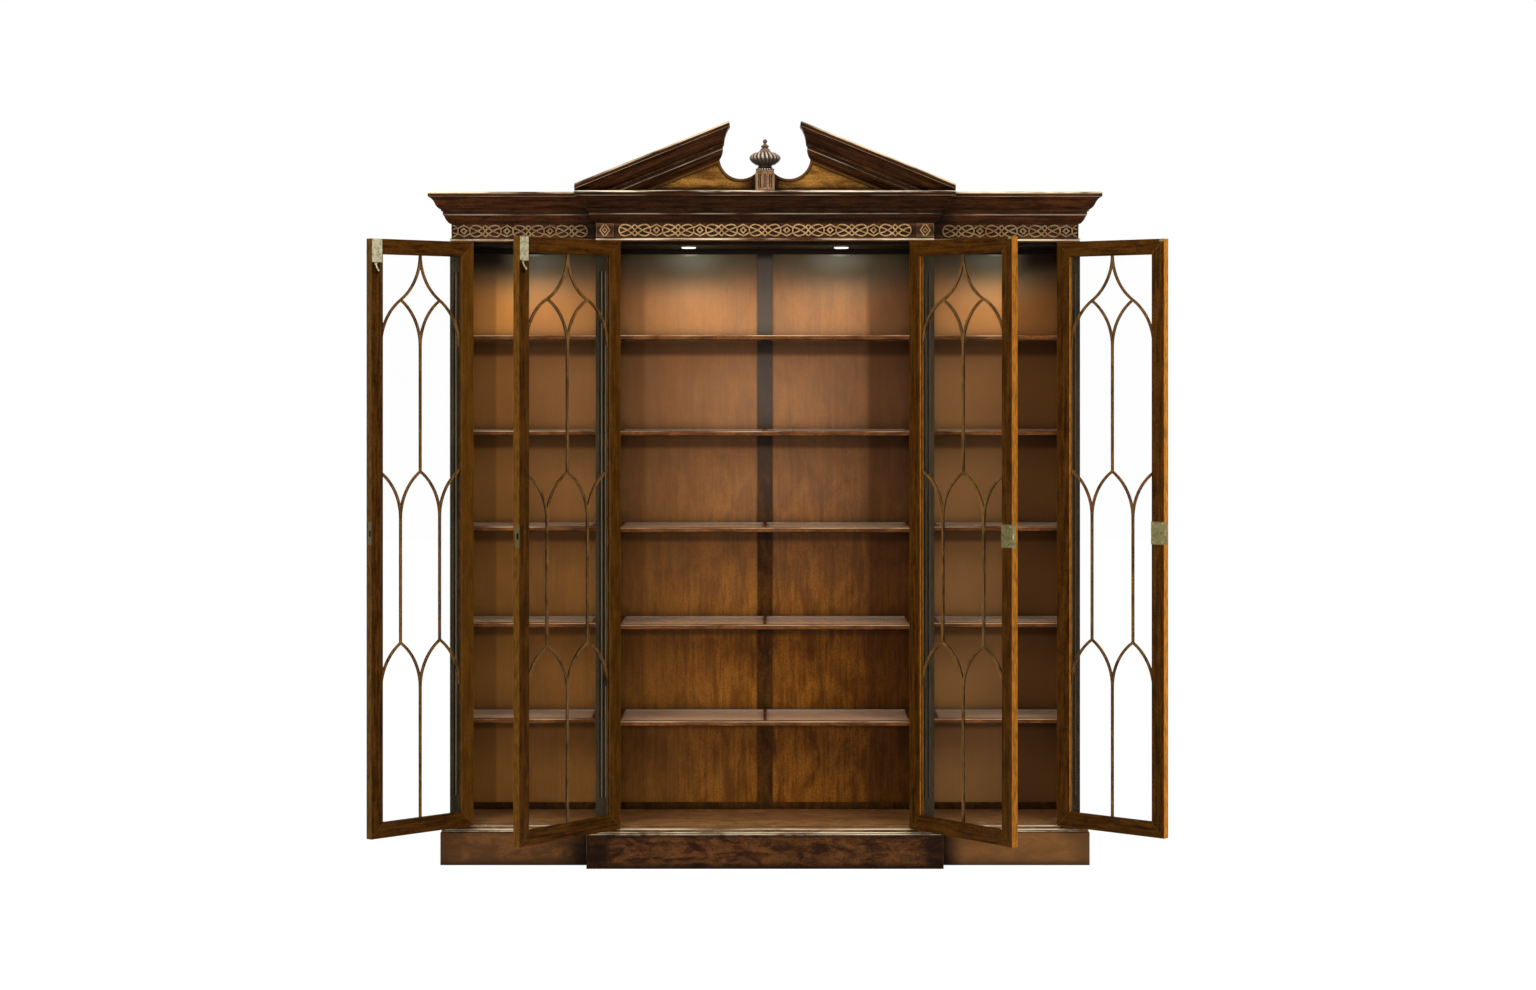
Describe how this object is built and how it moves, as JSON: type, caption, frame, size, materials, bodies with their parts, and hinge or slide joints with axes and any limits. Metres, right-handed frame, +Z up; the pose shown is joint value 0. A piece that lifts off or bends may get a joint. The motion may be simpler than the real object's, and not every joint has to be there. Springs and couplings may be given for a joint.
{
  "type": "breakfront bookcase",
  "caption": "Mahogany breakfront bookcase: glazed doors with ogee and lancet bars, lit glass-and-wood shelves, fluted pilasters, blind-fret frieze and a broken pediment with a gadrooned urn.",
  "frame": {"origin": "centre of the footprint on the floor, on the underside of the middle bearer of the plinth", "axes": "+X to the right seen from the front, along the width; the front and its doors face -Y; +Z up"},
  "size_m": [2.7898, 0.9041, 2.652],
  "materials": {
    "mahogany": "dark French-polished mahogany, worn lighter on the edges",
    "mahogany_light": "polished mahogany, rubbed back to golden brown on the carving",
    "mahogany_inside": "satin reddish-brown mahogany, less faded than the outside",
    "pine": "unfinished softwood carcass timber",
    "glass": "clear sheet glass with a faint green edge",
    "brass": "satin brass",
    "old_brass": "antique brass, dull olive brown",
    "steel": "satin nickel lamp ring",
    "lens": "frosted lamp diffuser"
  },
  "bodies": {
    "carcass": {"plinth_centre": "mahogany", "plinth_wings": "mahogany", "plinth_bearers": "pine", "base_moulding": "mahogany_light", "floor_boards": "mahogany_inside", "ceiling_boards": "mahogany_inside", "dust_boards": "pine", "outer_sides": "mahogany", "pier_boards": "mahogany", "pilasters": "mahogany", "back_panels": "mahogany_inside", "back_frame": "mahogany_inside", "frieze": "mahogany", "frieze_frets": "mahogany_light", "cornice_centre": "mahogany", "cornice_wings": "mahogany", "rake_left": "mahogany", "rake_right": "mahogany", "tympanum": "mahogany_light", "pedestal": "mahogany_light", "urn": "mahogany_light", "centre_shelf_frames": "mahogany_inside", "wing_shelf_frames": "mahogany_inside", "shelf_panes": "glass", "shelf_brackets": "brass", "lamp_rings": "steel", "lamp_lenses": "lens", "hinge_frame_leaves": "brass"},
    "centre_left_door": {"centre_left_stiles": "mahogany", "centre_left_rails": "mahogany", "centre_left_glazing_bars": "mahogany_light", "centre_left_glass": "glass", "centre_left_hinge_leaves": "brass", "centre_left_bolt_plates": "old_brass"},
    "centre_left_lever": {"centre_left_flush_lever": "brass"},
    "centre_left_rod": {"centre_left_flush_rod": "brass"},
    "centre_right_door": {"centre_right_stiles": "mahogany", "centre_right_rails": "mahogany", "centre_right_glazing_bars": "mahogany_light", "centre_right_glass": "glass", "centre_right_hinge_leaves": "brass", "centre_right_lock_plates": "old_brass"},
    "centre_right_turn": {"centre_right_lock_turn": "brass"},
    "centre_right_bolt": {"centre_right_lock_bolt": "brass"},
    "wing_left_door": {"wing_left_stiles": "mahogany", "wing_left_rails": "mahogany", "wing_left_glazing_bars": "mahogany_light", "wing_left_glass": "glass", "wing_left_hinge_leaves": "brass", "wing_left_bolt_plates": "old_brass"},
    "wing_left_lever": {"wing_left_flush_lever": "brass"},
    "wing_left_rod": {"wing_left_flush_rod": "brass"},
    "wing_right_door": {"wing_right_stiles": "mahogany", "wing_right_rails": "mahogany", "wing_right_glazing_bars": "mahogany_light", "wing_right_glass": "glass", "wing_right_hinge_leaves": "brass", "wing_right_lock_plates": "old_brass"},
    "wing_right_turn": {"wing_right_lock_turn": "brass"},
    "wing_right_bolt": {"wing_right_lock_bolt": "brass"}
  },
  "joints": [
    {"name": "centre_left_hinge", "type": "hinge", "parent": "carcass", "child": "centre_left_door", "pos_m": [-0.537, -0.2168, 1.1845], "axis": [0, 0, -1], "range_deg": [-127.5, 42.5]},
    {"name": "centre_left_lever_press", "type": "hinge", "parent": "centre_left_door", "child": "centre_left_lever", "pos_m": [-0.82928, -0.64041, 2.141], "axis": [0.6088, 0.7934, 0], "range_deg": [0, 32]},
    {"name": "centre_left_rod_slide", "type": "slide", "parent": "centre_left_door", "child": "centre_left_rod", "axis": [0, 0, 1], "range_m": [0, 0.012]},
    {"name": "centre_right_hinge", "type": "hinge", "parent": "carcass", "child": "centre_right_door", "pos_m": [0.537, -0.2168, 1.1845], "axis": [0, 0, 1], "range_deg": [-128, 42]},
    {"name": "centre_right_turn_spin", "type": "hinge", "parent": "centre_right_door", "child": "centre_right_turn", "pos_m": [0.85047, -0.6229, 1.203], "axis": [0.788, 0.6157, 0], "range_deg": [0, 90]},
    {"name": "centre_right_bolt_slide", "type": "slide", "parent": "centre_right_door", "child": "centre_right_bolt", "axis": [0.6157, -0.788, 0], "range_m": [0, 0.008]},
    {"name": "wing_left_hinge", "type": "hinge", "parent": "carcass", "child": "wing_left_door", "pos_m": [-1.064, -0.1358, 1.1845], "axis": [0, 0, -1], "range_deg": [-135, 35]},
    {"name": "wing_left_lever_press", "type": "hinge", "parent": "wing_left_door", "child": "wing_left_lever", "pos_m": [-1.35462, -0.46319, 2.141], "axis": [0.7071, 0.7071, 0], "range_deg": [0, 32]},
    {"name": "wing_left_rod_slide", "type": "slide", "parent": "wing_left_door", "child": "wing_left_rod", "axis": [0, 0, 1], "range_m": [0, 0.012]},
    {"name": "wing_right_hinge", "type": "hinge", "parent": "carcass", "child": "wing_right_door", "pos_m": [1.064, -0.1358, 1.1845], "axis": [0, 0, 1], "range_deg": [-138.5, 31.5]},
    {"name": "wing_right_turn_spin", "type": "hinge", "parent": "wing_right_door", "child": "wing_right_turn", "pos_m": [1.38856, -0.42695, 1.203], "axis": [0.6626, 0.749, 0], "range_deg": [0, 90]},
    {"name": "wing_right_bolt_slide", "type": "slide", "parent": "wing_right_door", "child": "wing_right_bolt", "axis": [0.749, -0.6626, 0], "range_m": [0, 0.008]}
  ],
  "couplings": [
    {"joint": "centre_left_rod_slide", "follows": "centre_left_lever_press", "m_per_rad": 0.021485},
    {"joint": "centre_right_turn_spin", "follows": "centre_right_bolt_slide", "rad_per_m": 196.3},
    {"joint": "wing_left_rod_slide", "follows": "wing_left_lever_press", "m_per_rad": 0.021485},
    {"joint": "wing_right_turn_spin", "follows": "wing_right_bolt_slide", "rad_per_m": 196.3}
  ]
}
